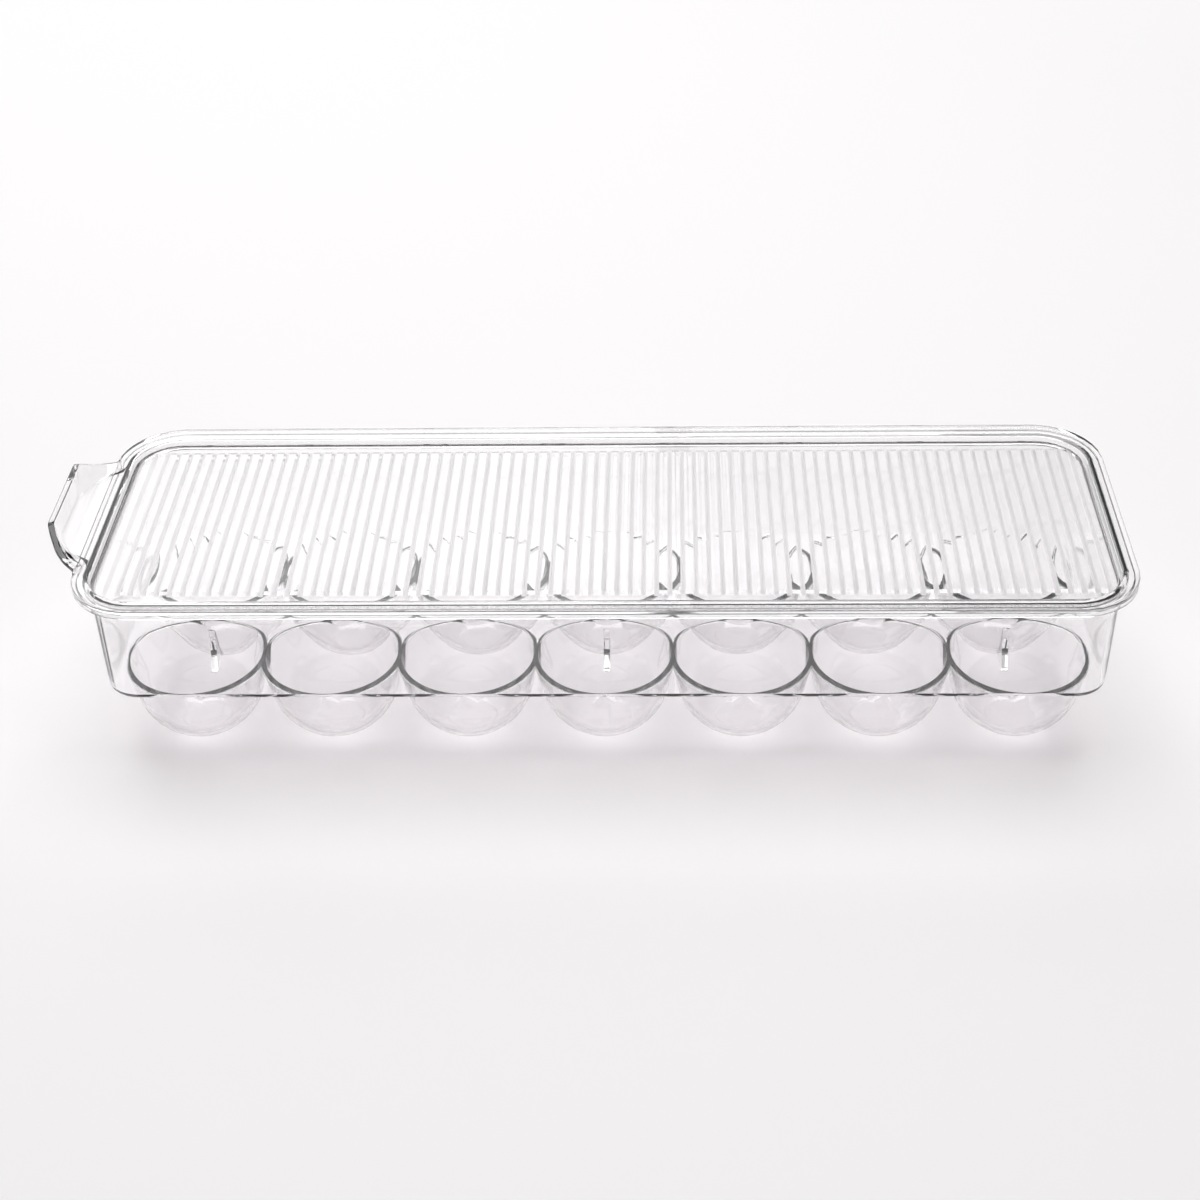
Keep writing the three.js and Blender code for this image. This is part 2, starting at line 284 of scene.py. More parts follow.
@dataclass(frozen=True)
class Level:
    """A rectangle with round corners at one height."""

    length: float
    width: float
    radius: float
    z: float

    @property
    def straight(self) -> Point2:
        """Half lengths of the straight parts of the sides."""
        return (self.length - self.radius, self.width - self.radius)

    def at(self, spot: Spot) -> Point3:
        """Return the point of this level that belongs to a spot of the outline.

        Args:
            spot: The spot.

        Returns:
            The point.
        """
        straight_x, straight_y = self.straight
        if spot.corner:
            x = spot.side_x * (straight_x + self.radius * math.cos(spot.share))
            y = spot.side_y * (straight_y + self.radius * math.sin(spot.share))
        elif spot.side_x:
            x, y = spot.side_x * self.length, spot.share * straight_y
        else:
            x, y = spot.share * straight_x, spot.side_y * self.width
        return (x, y, self.z)

    def crossing(self, centre: Point2, angle: float) -> Point2:
        """Return where a ray from inside meets the outline.

        Args:
            centre: Start of the ray.
            angle: Direction of the ray from +X, in radians.

        Returns:
            The point on the outline.
        """
        low, high = 0.0, 2.0 * (self.length + self.width)
        for _ in range(CROSSING_STEPS):
            middle = (low + high) / 2.0
            x = abs(centre[0] + middle * math.cos(angle))
            y = abs(centre[1] + middle * math.sin(angle))
            if self._inside(x, y):
                low = middle
            else:
                high = middle
        return (centre[0] + low * math.cos(angle), centre[1] + low * math.sin(angle))

    def _inside(self, x: float, y: float) -> bool:
        """Return whether a point of the first quarter lies within the outline.

        Args:
            x: Distance from the middle along X.
            y: Distance from the middle along Y.

        Returns:
            Whether it is inside.
        """
        if x > self.length or y > self.width:
            return False
        over_x, over_y = x - self.straight[0], y - self.straight[1]
        return over_x <= 0 or over_y <= 0 or math.hypot(over_x, over_y) <= self.radius

    def spot(self, point: Point2) -> Spot:
        """Return the spot of a point that lies on the outline.

        Args:
            point: The point.

        Returns:
            Its spot.
        """
        x, y = point
        straight_x, straight_y = self.straight
        side_x = 1 if x > 0 else -1
        side_y = 1 if y > 0 else -1
        if abs(x) <= straight_x:
            return Spot(False, 0, side_y, x / straight_x)
        if abs(y) <= straight_y:
            return Spot(False, side_x, 0, y / straight_y)
        turn = math.atan2(abs(y) - straight_y, abs(x) - straight_x)
        return Spot(True, side_x, side_y, turn)


@dataclass(frozen=True)
class CupForm:
    """One round egg cup: a cone that leads into a bowl with a flat foot."""

    mouth_radius: float = 22.45
    cone_degrees: float = 10.0
    bowl_radius: float = 20.6
    wall: float = 1.6
    inside_depth: float = 27.4
    outside_depth: float = 29.2
    deck: float = 1.6
    mouth_fillet: float = 0.32
    root_fillet: float = 0.9
    foot_fillet_degrees: float = 1.6
    foot_rings: Point2 = (0.55, 0.93)
    inner_cone_rings: tuple[float, ...] = (0.35, 0.7, 1.0)
    outer_cone_rings: tuple[float, ...] = (0.3, 0.55, 0.8, 1.0)
    arc_steps: int = 11

    @property
    def centre_depth(self) -> float:
        """Depth of the bowl's centre below the deck."""
        lean = math.radians(self.cone_degrees)
        foot = self.bowl_radius * (math.cos(lean) + math.sin(lean) * math.tan(lean))
        return (self.mouth_radius - foot) / math.tan(lean)

    def _arc(self, radius: float, depth: float) -> list[Point2]:
        """Return the bowl from its foot up to the cone, as radius and height.

        Args:
            radius: Radius of the bowl.
            depth: Depth of the foot below the deck.

        Returns:
            The points of the bowl.
        """
        lean = math.radians(self.cone_degrees)
        foot = math.asin((depth - self.centre_depth) / radius)
        eased = foot - math.radians(self.foot_fillet_degrees)
        points = [(0.0, -depth)]
        points += [(radius * math.cos(foot) * ring, -depth) for ring in self.foot_rings]
        for step in range(self.arc_steps + 1):
            turn = lerp(eased, lean, step / self.arc_steps)
            points.append((radius * math.cos(turn), -self.centre_depth - radius * math.sin(turn)))
        return points

    def _cone(self, bowl: list[Point2], top: float, fillet: float, rings: Sequence[float]) -> list[Point2]:
        """Carry a bowl on up its cone and over a fillet into the flat of the deck.

        Args:
            bowl: The bowl's points, from its foot up.
            top: Height of the deck's face.
            fillet: Radius of the fillet.
            rings: Where the cone's rings lie, as shares of its height; the fillet has as many steps.

        Returns:
            All the points, from the foot to the deck.
        """
        lean = math.tan(math.radians(self.cone_degrees))
        start_r, start_z = bowl[-1]
        end_z = top - fillet
        heights = [lerp(start_z, end_z, ring) for ring in rings]
        points = bowl + [(start_r + (z - start_z) * lean, z) for z in heights]
        end_r = points[-1][0]
        for step in range(1, len(rings) + 1):
            turn = math.radians(90.0 * step / len(rings))
            points.append((end_r + fillet * (1.0 - math.cos(turn)), end_z + fillet * math.sin(turn)))
        return points

    def inner(self) -> list[Point2]:
        """Return the inner face from the middle of the foot to the deck."""
        bowl = self._arc(self.bowl_radius, self.inside_depth)
        return self._cone(bowl, 0.0, self.mouth_fillet, self.inner_cone_rings)

    def outer(self) -> list[Point2]:
        """Return the outer face from the middle of the foot to the deck's underside."""
        bowl = self._arc(self.bowl_radius + self.wall, self.outside_depth)
        return self._cone(bowl, -self.deck, self.root_fillet, self.outer_cone_rings)


@dataclass
class CupGrid:
    """The two rows of cups and the deck between them, as an upper and a lower face."""

    per_row: int = 7
    pitch_x: float = 46.0
    pitch_y: float = 46.6
    rays: int = 24
    handle_rays: int = 72
    cup: CupForm = field(default_factory=CupForm)
    deck_steps: int = 2
    corner_margin: float = 1.0
    least_cut: float = 1e-6

    def centre(self, number: int, row: Row) -> Point2:
        """Return the middle of one cup."""
        return ((number - (self.per_row + 1) / 2) * self.pitch_x, row.value * self.pitch_y / 2)

    def _reach(self, number: int, row: Row, outline: Level) -> dict[Edge, float]:
        """Return how far the cell of a cup reaches to each side of its middle.

        Args:
            number: Number of the cup in its row, from 1.
            row: The row of the cup.
            outline: The outline that the outer edges lie on.

        Returns:
            The reach to each edge.
        """
        x, y = self.centre(number, row)
        reach = {Edge.RIGHT: self.pitch_x / 2, Edge.LEFT: self.pitch_x / 2}
        reach[Edge.BACK] = reach[Edge.FRONT] = self.pitch_y / 2
        if number == 1:
            reach[Edge.LEFT] = outline.length + x
        if number == self.per_row:
            reach[Edge.RIGHT] = outline.length - x
        outer_edge = Edge.FRONT if row is Row.FRONT else Edge.BACK
        reach[outer_edge] = outline.width - abs(y)
        return reach

    def is_outer(self, number: int, row: Row, edge: Edge) -> bool:
        """Return whether an edge of a cup's cell lies on the outline.

        Args:
            number: Number of the cup in its row, from 1.
            row: The row of the cup.
            edge: The edge.

        Returns:
            Whether it is an outer edge.
        """
        if edge is Edge.LEFT:
            return number == 1
        if edge is Edge.RIGHT:
            return number == self.per_row
        return (edge is Edge.FRONT) == (row is Row.FRONT)

    def ends(self, number: int, row: Row, outline: Level) -> list[tuple[Edge, list[Ray]]]:
        """Return where the rays of one cup end, edge by edge.

        Args:
            number: Number of the cup in its row, from 1.
            row: The row of the cup.
            outline: The outline that the outer edges lie on.

        Returns:
            For each edge the rays' lengths and end points, anticlockwise, without the last corner.
        """
        centre = self.centre(number, row)
        reach = self._reach(number, row, outline)
        result = []
        for edge in Edge:
            near = reach[edge]
            before = reach[Edge((edge.value - 1) % len(Edge))]
            after = reach[Edge((edge.value + 1) % len(Edge))]
            first, last = math.atan2(before, near), math.atan2(after, near)
            count = self.handle_rays if edge is Edge.LEFT and number == 1 else self.rays
            rays = []
            for step in range(count):
                share = 2.0 * step / count - 1.0
                turn = share * (first if share < 0 else last)
                angle = edge.value * math.pi / 2 + turn
                length = near / math.cos(turn)
                end = (centre[0] + length * math.cos(angle), centre[1] + length * math.sin(angle))
                near_corner = abs(end[0]) > outline.length - outline.radius - self.corner_margin
                if near_corner or self.is_outer(number, row, edge):
                    reached = outline.crossing(centre, angle)
                    cut = math.hypot(reached[0] - centre[0], reached[1] - centre[1])
                    if cut < length - self.least_cut:
                        length, end = cut, reached
                rays.append((length, end))
            result.append((edge, rays))
        return result

    def face(self, skin: Skin, profile: Sequence[Point2], outline: Level) -> None:
        """Add the upper or the lower face of all cups to a skin.

        Args:
            skin: The skin to add to.
            profile: The cup's face as radius and height, from the middle out.
            outline: Where the face ends.
        """
        for row in Row:
            for number in range(1, self.per_row + 1):
                centre = self.centre(number, row)
                rays = [ray for _, rays in self.ends(number, row, outline) for ray in rays]
                columns = [self._column(skin, centre, ray, profile) for ray in rays]
                hub = skin.point((centre[0], centre[1], profile[0][1]))
                for i, column in enumerate(columns):
                    following = columns[(i + 1) % len(columns)]
                    skin.face((hub, column[0], following[0]))
                    for k in range(len(column) - 1):
                        skin.face((column[k], column[k + 1], following[k + 1], following[k]))

    def _column(self, skin: Skin, centre: Point2, ray: Ray, profile: Sequence[Point2]) -> list[int]:
        """Return the points of one ray, from the first ring to the edge of the cell.

        Args:
            skin: The skin that gets the points.
            centre: Middle of the cup.
            ray: The ray's length and end.
            profile: The cup's face as radius and height.

        Returns:
            The numbers of the points.
        """
        length, end = ray
        across = ((end[0] - centre[0]) / length, (end[1] - centre[1]) / length)
        edge = (length, value_at(profile, length))
        radii = [ring if ring[0] < length else edge for ring in profile[1:]]
        last_r = radii[-1][0]
        for step in range(1, self.deck_steps + 1):
            if last_r < length:
                radii.append((lerp(last_r, length, step / self.deck_steps), profile[-1][1]))
            else:
                radii.append(radii[-1])
        return [skin.point((centre[0] + r * across[0], centre[1] + r * across[1], z)) for r, z in radii]

    def rim_spots(self, outline: Level) -> list[tuple[Point2, float]]:
        """Return the rays' ends on the outline, anticlockwise from the front left cup.

        Args:
            outline: The outline of the face.

        Returns:
            The end points and the lengths of their rays.
        """
        spots: list[tuple[Point2, float]] = []
        front = [(n, Row.FRONT) for n in range(1, self.per_row + 1)]
        back = [(n, Row.BACK) for n in range(self.per_row, 0, -1)]
        for number, row in front + back:
            by_edge = dict(self.ends(number, row, outline))
            order = [Edge.LEFT, Edge.FRONT, Edge.RIGHT, Edge.BACK]
            if row is Row.BACK:
                order = [Edge.RIGHT, Edge.BACK, Edge.LEFT, Edge.FRONT]
            for edge in order:
                if self.is_outer(number, row, edge):
                    spots.extend((end, length) for length, end in by_edge[edge])
        return spots


@dataclass(frozen=True)
class HandleStation:
    """One station of the pull handle: its outer edge and its pocket floor's edge."""

    edge: Point3
    pocket: Point2


@dataclass
class PullHandle:
    """The handle: the rim's plate runs out around a shallow pocket and curls up into a lip."""

    join_half_width: float = 36.0
    lip: float = 2.0
    foot: float = 1.9
    sheet: float = 1.5
    rim_top: float = 40.0
    underside: float = 38.2
    ease: float = 0.5
    floor_shares: Point3 = (0.15, 0.45, 0.75)
    wall_shares: Point3 = (0.06, 0.5, 0.94)
    below_shares: Point2 = (0.12, 0.85)
    foot_share: float = 0.12
    pocket_ease: float = 0.55
    pocket_corner: Point2 = (0.12, 0.05)
    inner_corner: Point2 = (0.12, 0.1)
    outer_corner: float = 0.14
    foot_rise: float = 0.4
    under_x: float = -171.2
    under_share: float = 0.15
    under_drop: float = 0.06
    blend: float = 2.4
    probe: float = 0.01
    stations: tuple[HandleStation, ...] = (
        HandleStation((-181.5, 0.0, 49.0), (-179.3, 0.0)),
        HandleStation((-181.5, 10.0, 49.0), (-179.3, 7.0)),
        HandleStation((-181.5, 17.2, 49.0), (-179.3, 12.0)),
        HandleStation((-181.25, 19.0, 48.45), (-178.8, 13.8)),
        HandleStation((-180.7, 20.6, 47.6), (-178.1, 15.6)),
        HandleStation((-179.6, 23.0, 46.0), (-176.8, 18.8)),
        HandleStation((-178.0, 26.0, 44.0), (-174.8, 21.9)),
        HandleStation((-175.5, 29.0, 42.25), (-172.1, 24.3)),
        HandleStation((-173.8, 30.5, 41.55), (-170.3, 25.5)),
        HandleStation((-172.0, 32.0, 40.9), (-168.5, 26.7)),
        HandleStation((-171.1, 33.4, 40.35), (-167.3, 27.6)),
        HandleStation((-170.9, 35.0, 40.0), (-166.9, 28.8)),
    )

    def __post_init__(self) -> None:
        """Measure the outer edge from the middle to the neck."""
        self.run = [0.0]
        for before, after in zip(self.stations, self.stations[1:]):
            self.run.append(self.run[-1] + math.dist(before.edge, after.edge))

    def _curve(self, share: float, values: Callable[[HandleStation], tuple[float, ...]]) -> list[float]:
        """Return a smooth value along the handle, by a Catmull-Rom curve through the stations.

        Args:
            share: Place from the middle (0) to the neck (1); below 0 is past the middle.
            values: What is read from each station.

        Returns:
            The values at that place.
        """
        at = abs(share) * self.run[-1]
        last = len(self.run) - 2
        i = next((k for k in range(last + 1) if at <= self.run[k + 1]), last)
        t = min((at - self.run[i]) / (self.run[i + 1] - self.run[i]), 1.0)
        near = [values(self.stations[max(min(i + k, last + 1), 0)]) for k in (-1, 0, 1, 2)]
        result = []
        for p0, p1, p2, p3 in zip(*near):
            bend = 2 * p1 + (p2 - p0) * t + (2 * p0 - 5 * p1 + 4 * p2 - p3) * t**2
            result.append(0.5 * (bend + (3 * p1 - p0 - 3 * p2 + p3) * t**3))
        return result

    def edge(self, share: float, inset: float = 0.0) -> Vector:
        """Return a point of the lip's outer edge, moved in by an inset."""
        return self._moved(lambda s: self._curve(s, lambda station: station.edge), share, inset)

    def pocket(self, share: float, inset: float = 0.0) -> Vector:
        """Return a point of the pocket floor's edge, moved in by an inset."""

        def flat(station: HandleStation) -> Point3:
            """Return the station's pocket point at the height of the rim."""
            return (*station.pocket, self.rim_top)

        return self._moved(lambda s: self._curve(s, flat), share, inset)

    @staticmethod
    def _moved(curve: Callable[[float], list[float]], share: float, inset: float) -> Vector:
        """Return a point of a half curve moved towards the tray.

        Args:
            curve: The curve, by share.
            share: Place on the curve.
            inset: How far the point is moved.

        Returns:
            The moved point.
        """
        here = Vector(curve(share))
        ahead = Vector(curve(min(share + PullHandle.probe, 1.0)))
        behind = Vector(curve(max(share - PullHandle.probe, 0.0)))
        along = Vector((ahead.x - behind.x, ahead.y - behind.y, 0.0)).normalized()
        return here + Vector((along.y, -along.x, 0.0)) * inset

    def section(self, y: float, start: Point3) -> list[Point3]:
        """Return the handle's section at a spot of the end wall.

        Args:
            y: The spot's distance from the middle of the wall.
            start: The point of the rim's top that the pocket floor starts from.

        Returns:
            The points that take the place of those of the rim's levels.
        """
        share = min(abs(y) / self.join_half_width, 1.0)
        side = 1.0 if y >= 0 else -1.0
        up = Vector((0.0, 0.0, 1.0))
        rim = Vector((start[0], abs(start[1]), self.rim_top))
        floor = self.pocket(share)
        inner, crown = self.edge(share, self.lip), self.edge(share)
        foot = self.pocket(share, -self.foot)
        foot.z = self.underside
        low = crown - up * self.sheet
        low.z = max(low.z, self.underside + self.foot_rise)
        under = Vector((self.under_x, lerp(rim.y, foot.y, self.under_share), self.underside))
        points = [
            *(rim.lerp(floor, part) for part in self.floor_shares),
            self.pocket(share, self.pocket_ease),
            self.pocket(share, self.pocket_corner[0]) + up * self.pocket_corner[1],
            *(floor.lerp(inner, part) for part in self.wall_shares),
            self.edge(share, self.lip - self.inner_corner[0]) - up * self.inner_corner[1],
            self.edge(share, self.lip - self.ease),
            self.edge(share, self.ease),
            self.edge(share, self.outer_corner) - up * self.outer_corner,
            crown - up * self.ease,
            low,
            *(low.lerp(foot, part) for part in self.below_shares),
            foot.lerp(under, self.foot_share),
            under - Vector((self.ease, 0.0, 0.0)),
            under - up * self.under_drop,
        ]
        return [(point.x, side * point.y, point.z) for point in points]

    def weight(self, y: float) -> float:
        """Return how far a spot of the end wall belongs to the handle."""
        return smooth((self.join_half_width - abs(y)) / self.blend)


@dataclass
class TrayMoulding:
    """The tray: cups, deck, drafted wall, stepped rim and pull handle, as one skin."""

    grid: CupGrid = field(default_factory=CupGrid)
    handle: PullHandle = field(default_factory=PullHandle)
    foot_inside: Level = Level(163.0, 46.12, 9.4, 0.0)
    foot_outside: Level = Level(163.3, 46.2, 9.9, -1.6)
    levels_before_handle: int = 17
    crisp_degrees: float = 32.0

    def wall_levels(self) -> list[Level]:
        """Return the wall and rim from the inner foot over the rim to the outer foot.

        Returns:
            The levels in order.
        """
        wall_inside = (
            (163.05, 46.17, 9.42, 0.02), (163.14, 46.22, 9.48, 0.1), (163.22, 46.26, 9.55, 0.35),
            (163.55, 46.81, 10.9, 9.0), (163.88, 47.4, 12.2, 18.0), (164.2, 47.98, 13.5, 27.0),
            (164.4, 48.38, 14.4, 33.3), (164.38, 48.2, 14.4, 34.2), (164.38, 48.12, 14.4, 35.35),
        )
        ledge_and_upstand = (
            (164.42, 48.16, 14.45, 35.58), (164.6, 48.3, 14.6, 35.7), (165.5, 49.05, 15.75, 35.7),
            (165.72, 49.25, 15.95, 35.78), (165.8, 49.33, 16.0, 36.0), (165.92, 49.45, 16.1, 39.55),
            (166.02, 49.55, 16.15, 39.86), (166.36, 49.9, 16.4, 40.0),
        )
        rim_top = ((166.9 + 0.6 * k, 50.5 + 0.7 * k, 17.1 + 0.7 * k, 40.0) for k in range(6))
        rim_corner = (
            (170.7, 55.0, 21.5, 40.0), (170.86, 55.16, 21.68, 39.97), (171.0, 55.3, 21.8, 39.9),
            (171.1, 55.4, 21.9, 39.8), (171.17, 55.47, 21.97, 39.66),
        )
        rim_edge = ((171.2, 55.5, 22.0, z) for z in (39.5, 39.1, 38.7, 38.55, 38.4, 38.25, 38.1, 37.6, 37.15))
        rim_lip = (
            (171.16, 55.46, 21.9, 37.04), (171.05, 55.35, 21.7, 36.98), (169.9, 54.2, 20.9, 36.7),
            (169.76, 54.06, 20.7, 36.8), (169.7, 54.0, 20.6, 37.5), (169.7, 53.95, 20.55, 37.95),
            (169.4, 53.65, 20.3, 38.2),
        )
        underside_and_step = (
            (167.9, 51.6, 18.2, 38.2), (167.6, 51.25, 17.95, 38.0), (167.5, 51.1, 17.8, 37.6),
            (167.4, 50.95, 17.6, 34.7), (167.2, 50.75, 17.4, 34.35), (166.25, 49.9, 16.35, 34.15),
            (165.97, 49.65, 16.05, 33.8),
        )
        wall_outside = (
            (165.65, 49.1, 14.7, 25.5), (165.35, 48.55, 13.4, 17.0), (165.05, 48.0, 12.2, 8.5),
            (164.75, 47.46, 11.0, 0.45), (164.64, 47.35, 10.9, -0.15), (164.35, 47.1, 10.7, -0.75),
            (163.9, 46.7, 10.35, -1.27),
        )
        inner_runs = (wall_inside, ledge_and_upstand, rim_top, rim_corner)
        outer_runs = (rim_edge, rim_lip, underside_and_step, wall_outside)
        return [Level(*sizes) for run in inner_runs + outer_runs for sizes in run]

    def skin(self) -> Skin:
        """Return the closed skin of the whole moulding.

        Returns:
            The skin with its handle.
        """
        skin = Skin()
        self.grid.face(skin, self.grid.cup.inner(), self.foot_inside)
        outer = self.grid.cup.outer()
        self.grid.face(skin, outer, self.foot_outside)
        inside = self.grid.rim_spots(self.foot_inside)
        outside = self.grid.rim_spots(self.foot_outside)
        levels = self.wall_levels()
        rows: list[list[int]] = []
        for (inner_end, _), (outer_end, length) in zip(inside, outside):
            low, high = self.foot_inside.spot(inner_end), self.foot_outside.spot(outer_end)
            section = [(inner_end[0], inner_end[1], 0.0)]
            for i, level in enumerate(levels):
                near, far = level.at(low), level.at(high)
                share = (i + 1) / (len(levels) + 1)
                section.append(tuple(lerp(a, b, share) for a, b in zip(near, far)))
            section.append((outer_end[0], outer_end[1], value_at(outer, length)))
            rows.append([skin.point(p) for p in self._with_handle(section)])
        for i, row in enumerate(rows):
            skin.band(row, rows[(i + 1) % len(rows)], closed=False)
        return skin

    def _with_handle(self, section: list[Point3]) -> list[Point3]:
        """Return a wall section with the handle worked in where it belongs.

        Args:
            section: The section without the handle.

        Returns:
            The section with it.
        """
        first = self.levels_before_handle + 1
        y = section[first - 1][1]
        if section[first][0] > 0 or abs(y) >= self.handle.join_half_width:
            return section
        weight = self.handle.weight(y)
        result = list(section)
        for i, target in enumerate(self.handle.section(y, section[first - 1])):
            result[first + i] = tuple(lerp(a, b, weight) for a, b in zip(section[first + i], target))
        return result


@dataclass
class LidMoulding:
    """The lid: a flat plate with rounded crosswise ribs."""

    half_length: float = 165.2
    half_width: float = 48.7
    radius: float = 15.4
    shift: float = -0.3
    bottom: float = 35.75
    top: float = 37.5
    edge: float = 0.35
    rib_count: int = 75
    rib_pitch: float = 4.22
    rib_width: float = 4.18
    rib_top_width: float = 2.6
    rib_bend: float = 24.0
    rib_steps: int = 4
    rib_height: float = 0.33
    rib_root: float = 0.01
    rib_half_length: float = 43.0
    rib_ramp: float = 1.6
    rib_sunk: float = 0.5
    rib_middle: float = 3.0
    corner_steps: int = 16
    edge_steps: int = 4
    crisp_degrees: float = 10.0

    def _loop(self, inset: float, z: float) -> list[Point3]:
        """Return the plate's outline at one height, drawn in by an inset.

        Args:
            inset: How far the outline is drawn in.
            z: The height.

        Returns:
            The points of the outline.
        """
        level = Level(self.half_length - inset, self.half_width - inset, self.radius - inset, z)
        points = []
        for side_x, side_y, turned in ((1, 1, False), (-1, 1, True), (-1, -1, False), (1, -1, True)):
            for step in range(self.corner_steps + 1):
                share = step / self.corner_steps
                turn = (1 - share if turned else share) * math.pi / 2
                x, y, _ = level.at(Spot(True, side_x, side_y, turn))
                points.append((x + self.shift, y, z))
        return points

    def plate(self) -> bpy.types.Object:
        """Return the flat plate with its rounded edge.

        Returns:
            The plate's object.
        """
        skin = Skin()
        edge = self.edge
        turns = [math.radians(90.0 * step / self.edge_steps) for step in range(self.edge_steps + 1)]
        loops = [self._loop(edge * (1 - math.sin(t)), self.bottom + edge * (1 - math.cos(t))) for t in turns]
        loops += [self._loop(edge * (1 - math.cos(t)), self.top - edge * (1 - math.sin(t))) for t in turns]
        rows = [[skin.point(p) for p in loop] for loop in loops]
        for low, high in zip(rows, rows[1:]):
            skin.band(low, high)
        skin.face(tuple(reversed(rows[0])))
        skin.face(rows[-1])
        return skin.mesh("lid_moulding")

    def rib(self) -> bpy.types.Object:
        """Return one rib, drawn about the middle of its root.

        Returns:
            The rib's object.
        """
        skin = Skin()
        half, flat = self.rib_width / 2, self.rib_top_width / 2
        high = self.rib_root + self.rib_height
        section = [(half, -self.rib_sunk), (half, self.rib_root)]
        for step in range(-self.rib_steps, self.rib_steps + 1):
            x = -flat * step / self.rib_steps
            section.append((x, high + (flat**2 - x**2) / (2 * self.rib_bend)))
        section += [(-half, self.rib_root), (-half, -self.rib_sunk)]
        low = [(x, min(z, self.rib_root)) for x, z in section]
        near, far = self.rib_half_length - self.rib_ramp, self.rib_half_length
        rows = []
        for y, outline in ((-far, low), (-near, section), (near, section), (far, low)):
            rows.append([skin.point((x, y, self.top + z)) for x, z in outline])
        for before, after in zip(rows, rows[1:]):
            skin.band(before, after)
        skin.face(rows[0])
        skin.face(tuple(reversed(rows[-1])))
        return skin.mesh("lid_rib")

    def first_rib(self) -> float:
        """Return the X of the first rib."""
        return self.rib_middle - self.rib_pitch * (self.rib_count - 1) / 2


@dataclass
class TieRibs:
    """The thin plates that tie the front bowls to the back bowls under the deck."""

    cup: CupForm = field(default_factory=CupForm)
    row_half_pitch: float = 23.3
    thickness: float = 2.2
    top_depth: float = 7.0
    depth: float = 22.3
    steps: int = 8
    count: int = 3
    pitch: float = 138.0

    def plate(self) -> bpy.types.Object:
        """Return one rib that reaches the middle of both bowls' walls.

        Returns:
            The rib's object.
        """
        skin = Skin()
        bowl = [(z, r) for r, z in self.cup.outer()]
        profile = []
        for step in range(self.steps + 1):
            z = -lerp(self.top_depth, self.depth, step / self.steps)
            radius = value_at(bowl, z) - self.cup.wall / 2
            profile.append((self.row_half_pitch - radius, z))
        section = profile + [(-y, z) for y, z in reversed(profile)]
        faces = []
        for x in (-self.thickness / 2, self.thickness / 2):
            faces.append([skin.point((x, y, z)) for y, z in section])
        skin.band(faces[0], faces[1])
        skin.face(faces[0])
        skin.face(tuple(reversed(faces[1])))
        return skin.mesh("tie_rib")


class RowOfRibs:
    """A geometry tree that joins a row of equal ribs to a moulding."""

    def __init__(self) -> None:
        """Build the tree with its named inputs."""
        tree = bpy.data.node_groups.new("row of ribs", "GeometryNodeTree")
        self.tree = tree
        face = tree.interface
        face.new_socket("Moulding", in_out="INPUT", socket_type="NodeSocketGeometry")
        self.inputs = {
            name: face.new_socket(name, in_out="INPUT", socket_type=kind).identifier
            for name, kind in (
                ("Rib", "NodeSocketObject"),
                ("Count", "NodeSocketInt"),
                ("First", "NodeSocketVector"),
                ("Pitch", "NodeSocketVector"),
                ("Plastic", "NodeSocketMaterial"),
            )
        }
        face.new_socket("Moulding", in_out="OUTPUT", socket_type="NodeSocketGeometry")
        start = add_node(tree, "NodeGroupInput")
        feeds = {"Count": start["Count"], "Start Location": start["First"], "Offset": start["Pitch"]}
        line = add_node(tree, "GeometryNodeMeshLine", feeds, mode="OFFSET")
        rib = add_node(tree, "GeometryNodeObjectInfo", {"Object": start["Rib"]})
        feeds = {"Points": line["Mesh"], "Instance": rib["Geometry"]}
        spread = add_node(tree, "GeometryNodeInstanceOnPoints", feeds)
        real = add_node(tree, "GeometryNodeRealizeInstances", {"Geometry": spread["Instances"]})
        feeds = {"Mesh 2": [start["Moulding"], real["Geometry"]]}
        join = add_node(tree, "GeometryNodeMeshBoolean", feeds, operation="UNION", solver="MANIFOLD")
        whole = add_node(tree, "GeometryNodeRealizeInstances", {"Geometry": join["Mesh"]})
        feeds = {"Geometry": whole["Geometry"], "Material": start["Plastic"]}
        dress = add_node(tree, "GeometryNodeSetMaterial", feeds)
        add_node(tree, "NodeGroupOutput", {"Moulding": dress["Geometry"]})

    def apply(
        self,
        moulding: bpy.types.Object,
        rib: bpy.types.Object,
        count: int,
        first: float,
        pitch: float,
        plastic: bpy.types.Material,
    ) -> None:
        """Join the ribs to a moulding, which ends as a plain mesh.

        Args:
            moulding: The closed body that gets the ribs.
            rib: One rib; it is used up.
            count: How many ribs there are.
            first: X of the first rib in millimetres, from the rib as drawn.
            pitch: Distance between ribs in millimetres.
            plastic: The material of the result.
        """
        modifier = moulding.modifiers.new("ribs", "NODES")
        modifier.node_group = self.tree
        modifier[self.inputs["Rib"]] = rib
        modifier[self.inputs["Count"]] = count
        modifier[self.inputs["First"]] = (first * MM, 0.0, 0.0)
        modifier[self.inputs["Pitch"]] = (pitch * MM, 0.0, 0.0)
        modifier[self.inputs["Plastic"]] = plastic
        settle(moulding)
        bpy.data.objects.remove(rib)


class ShaderGroup:
    """A shader group of numbers that change over a piece, read on its Object coordinates."""

    def __init__(self, name: str, inputs: dict[str, float], outputs: Sequence[str]) -> None:
        """Start the group with its sockets.

        Args:
            name: Name of the group.
            inputs: The inputs with their values.
            outputs: The outputs.
        """
        self.tree = bpy.data.node_groups.new(name, "ShaderNodeTree")
        face = self.tree.interface
        for label, value in inputs.items():
            face.new_socket(label, in_out="INPUT", socket_type="NodeSocketFloat").default_value = value
        for label in outputs:
            face.new_socket(label, in_out="OUTPUT", socket_type="NodeSocketFloat")
        self.start = add_node(self.tree, "NodeGroupInput")
        self.place = add_node(self.tree, "ShaderNodeTexCoord")["Object"]


